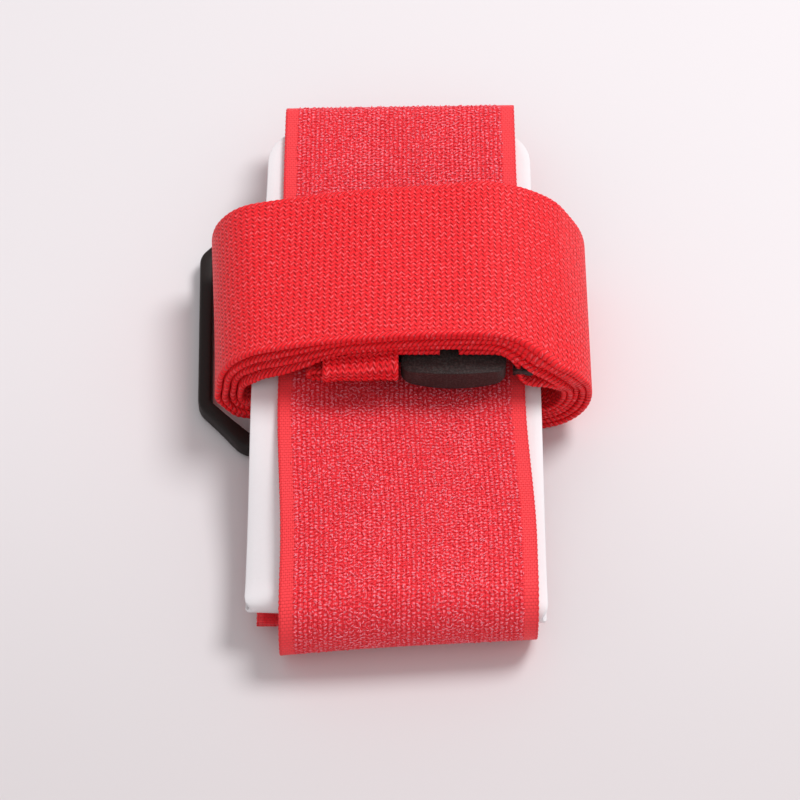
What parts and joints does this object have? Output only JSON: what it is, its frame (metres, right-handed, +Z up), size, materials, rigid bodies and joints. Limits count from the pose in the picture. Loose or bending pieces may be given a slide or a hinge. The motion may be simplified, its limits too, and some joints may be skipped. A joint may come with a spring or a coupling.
{
  "type": "luggage strap",
  "caption": "Webbing luggage strap with a side-release buckle and a ring, wound round a folded hook-and-loop band on a card.",
  "frame": {"origin": "on the table under the middle of the whole bundle's box", "axes": "+Z up, +X along the belt's winding width towards the buckle's housing, +Y along the hook-and-loop band towards its far fold"},
  "size_m": [0.0814, 0.135, 0.0336],
  "materials": {
    "belt_webbing": "coarse woven polyester, matt",
    "hook_tape": "woven nylon with rows of small glossy hooks",
    "loop_tape": "brushed nylon loops",
    "red_thread": "bonded polyester sewing thread",
    "white_card": "smooth uncoated white card",
    "black_plastic": "moulded acetal, fine grain"
  },
  "bodies": {
    "root": {"webbing_belt": "belt_webbing", "plug_strap": "belt_webbing", "buckle_housing": "black_plastic", "buckle_plug": "black_plastic", "hook_tape": "hook_tape", "loop_tape": "loop_tape", "insert_card": "white_card", "ring_end_stitching": "red_thread", "belt_tail_stitching": "red_thread", "strap_tail_stitching": "red_thread", "strap_seam_stitching": "red_thread"},
    "front_prong": {"prong_front": "black_plastic"},
    "back_prong": {"prong_back": "black_plastic"},
    "ring": {"ring_loop": "black_plastic"}
  },
  "joints": [
    {"name": "front_press", "type": "hinge", "parent": "root", "child": "front_prong", "pos_m": [-0.0038, -0.00185, 0.023], "axis": [0, 0, 1], "range_deg": [0, 7], "stiffness_Nm_per_rad": 0.8},
    {"name": "back_press", "type": "hinge", "parent": "root", "child": "back_prong", "pos_m": [-0.0038, 0.02135, 0.023], "axis": [0, 0, -1], "range_deg": [0, 7], "stiffness_Nm_per_rad": 0.8},
    {"name": "ring_lift", "type": "hinge", "parent": "root", "child": "ring", "pos_m": [-0.019, 0.0135, 0.00243], "axis": [0, 1, 0], "range_deg": [0, 5]}
  ]
}
